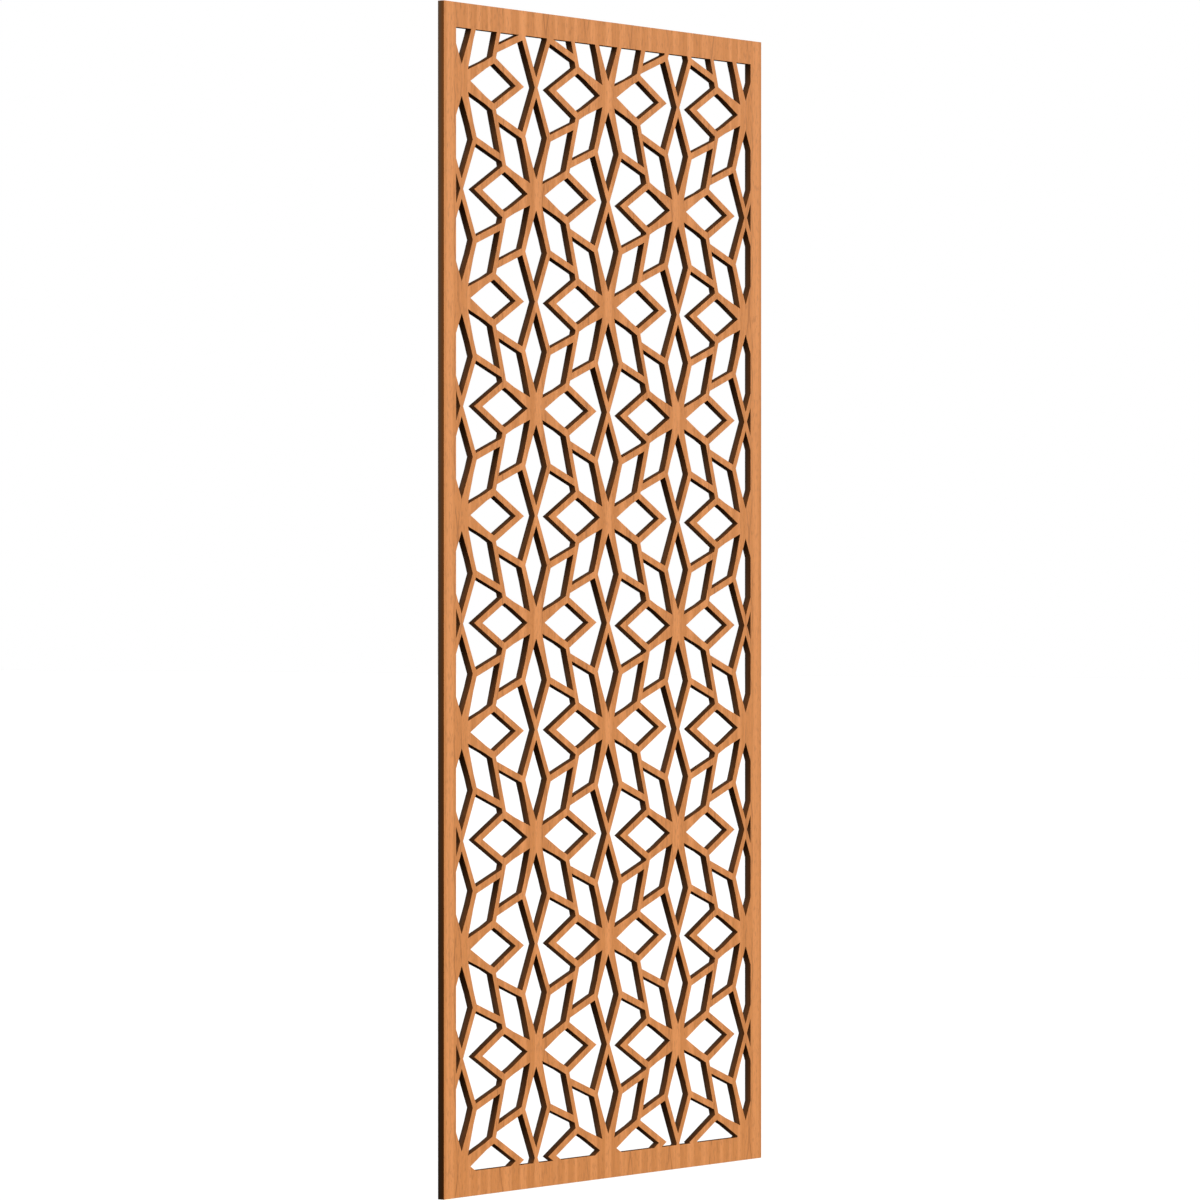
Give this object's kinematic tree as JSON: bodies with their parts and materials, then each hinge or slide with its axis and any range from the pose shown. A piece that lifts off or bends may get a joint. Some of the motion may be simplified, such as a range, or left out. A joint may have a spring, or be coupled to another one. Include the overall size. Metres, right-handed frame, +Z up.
{
  "type": "fretwork wall panel",
  "caption": "Tall flat wood wall panel, sawn through with an open lattice of eight-petalled stars inside a plain border.",
  "frame": {"origin": "middle of the top border's back face, where the panel is fixed to the wall", "axes": "+Z up along the panel's height, +X along its width, -Y out of its front face"},
  "size_m": [0.594, 0.0072, 1.184],
  "materials": {
    "wood": "orange-brown cherry veneer with fine upright grain, clear satin finish, scorched dark brown on the cut edges"
  },
  "bodies": {
    "root": {"fretwork_panel": "wood"}
  },
  "joints": []
}
